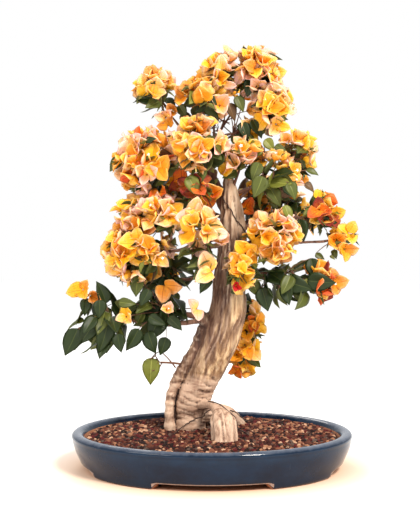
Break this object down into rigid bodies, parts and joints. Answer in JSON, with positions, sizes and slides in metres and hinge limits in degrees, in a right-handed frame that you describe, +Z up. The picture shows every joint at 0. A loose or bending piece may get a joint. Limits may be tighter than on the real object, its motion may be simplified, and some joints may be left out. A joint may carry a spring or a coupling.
{
  "type": "potted bougainvillea bonsai",
  "caption": "Flowering bougainvillea bonsai with a leaning tapered trunk, an open crown of amber bracts and dark green leaves, in a low oval glazed pot filled with granular soil.",
  "frame": {"origin": "on the standing plane under the middle of the whole plant's box", "axes": "+Z up along the height, +X along the pot's long axis to the right seen from the front, +Y away from the viewer"},
  "size_m": [0.405, 0.296, 0.5657],
  "materials": {
    "glaze": "dark navy gloss glaze with a paler rim",
    "soil": "matt mixed brown baked-clay granules",
    "bark": "tan bark with brown streaks and wrinkles",
    "bracts": "thin papery amber to peach bracts",
    "leaves": "dark green satin leaves"
  },
  "bodies": {
    "root": {"pot": "glaze", "soil": "soil", "trunk": "bark", "leader": "bark", "bough_crown_top": "bark", "bough_crown_crest": "bark", "bough_crown_right": "bark", "bough_crown_left": "bark", "bough_high_left": "bark", "bough_upper_left": "bark", "bough_upper_centre": "bark", "bough_right_upper": "bark", "bough_mid_left": "bark", "bough_low_mid_left": "bark", "bough_centre_front": "bark", "bough_right_outer": "bark", "bough_right_tip": "bark", "bough_low_left_outer": "bark", "bough_back_top": "bark", "bough_back_left": "bark", "bough_back_right": "bark", "bough_back_low_left": "bark", "mass_crown_top": "bracts", "mass_crown_crest": "bracts", "mass_crown_right": "bracts", "mass_crown_left": "bracts", "mass_crown_heart": "leaves", "mass_high_left": "bracts", "mass_upper_left": "bracts", "mass_upper_centre": "bracts", "mass_upper_middle": "bracts", "mass_right_leaves": "leaves", "mass_right_upper": "bracts", "mass_behind_right": "bracts", "mass_mid_left": "bracts", "mass_fork_front": "bracts", "mass_low_mid_left": "bracts", "mass_centre_front": "bracts", "mass_right_middle": "bracts", "mass_right_outer": "leaves", "mass_right_tip": "bracts", "mass_right_low": "leaves", "mass_front_right": "bracts", "mass_low_left_inner": "leaves", "mass_low_left_outer": "leaves", "mass_low_shoot": "leaves", "mass_hanging_behind": "bracts", "mass_back_top": "bracts", "mass_back_left": "bracts", "mass_back_right": "bracts", "mass_back_low_left": "leaves"}
  },
  "joints": []
}
